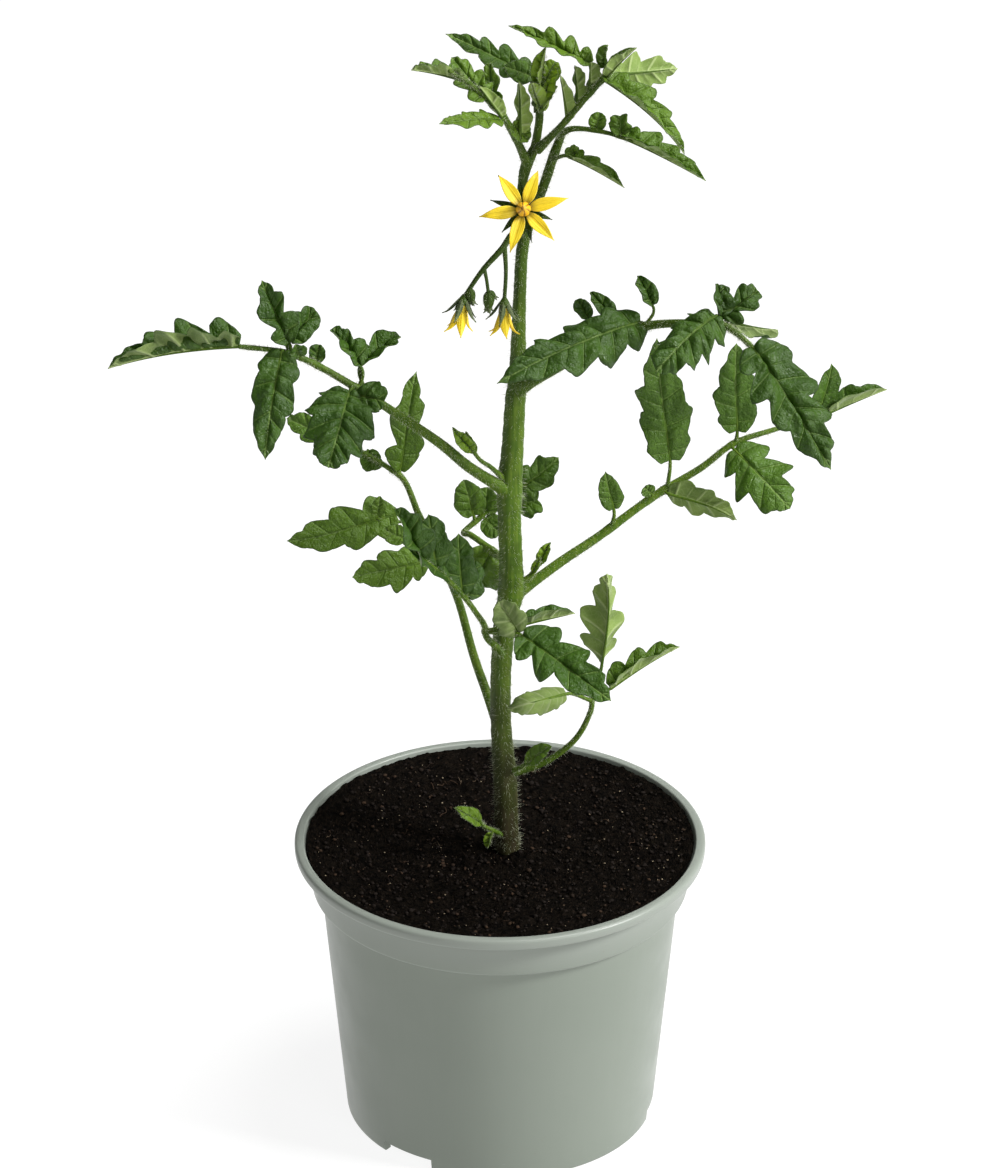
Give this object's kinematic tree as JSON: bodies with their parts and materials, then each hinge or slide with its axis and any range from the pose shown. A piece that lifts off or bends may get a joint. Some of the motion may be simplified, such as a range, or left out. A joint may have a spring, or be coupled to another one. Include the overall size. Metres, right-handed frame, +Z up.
{
  "type": "potted tomato plant",
  "caption": "Young tomato plant with divided leaves and one flower truss, growing in soil in a round plastic nursery pot that stands on its foot ring.",
  "frame": {"origin": "on the ground, on the pot's axis", "axes": "+Z up along the pot's axis, -Y towards the front, where the flower truss and the side shoot are, +X to the right seen from the front"},
  "size_m": [0.2735, 0.1518, 0.4282],
  "materials": {
    "pot": "satin sage-grey moulded plastic",
    "soil": "moist dark peat with fibres and crumbs",
    "stem": "hairy green stem, browner at the foot",
    "leaf": "dull green, puckered between pale veins, paler underside",
    "young_leaf": "fresh yellow-green, downy",
    "truss": "hairy grey-green stalks and sepals",
    "petal": "bright yellow, soft satin",
    "anther": "orange-yellow, ribbed"
  },
  "bodies": {
    "root": {"pot": "pot", "soil": "soil", "stem": "stem", "flower_truss": "truss", "flower_open": "petal", "flower_anthers": "anther", "flower_half_open_left": "petal", "flower_half_open_right": "petal", "leaf_low_right": "leaf", "leaf_low_left": "leaf", "leaf_mid_left": "leaf", "leaf_back": "leaf", "leaf_mid_right": "leaf", "leaf_right": "leaf", "side_shoot": "leaf", "leaf_top_left": "leaf", "leaf_top_back": "leaf", "leaf_top_right": "leaf", "leaf_side_right": "leaf", "leaf_small_right": "leaf", "growing_tip": "young_leaf", "shoot_left": "young_leaf", "shoot_right": "young_leaf", "shoot_low": "young_leaf", "sprout_foot": "young_leaf"}
  },
  "joints": []
}
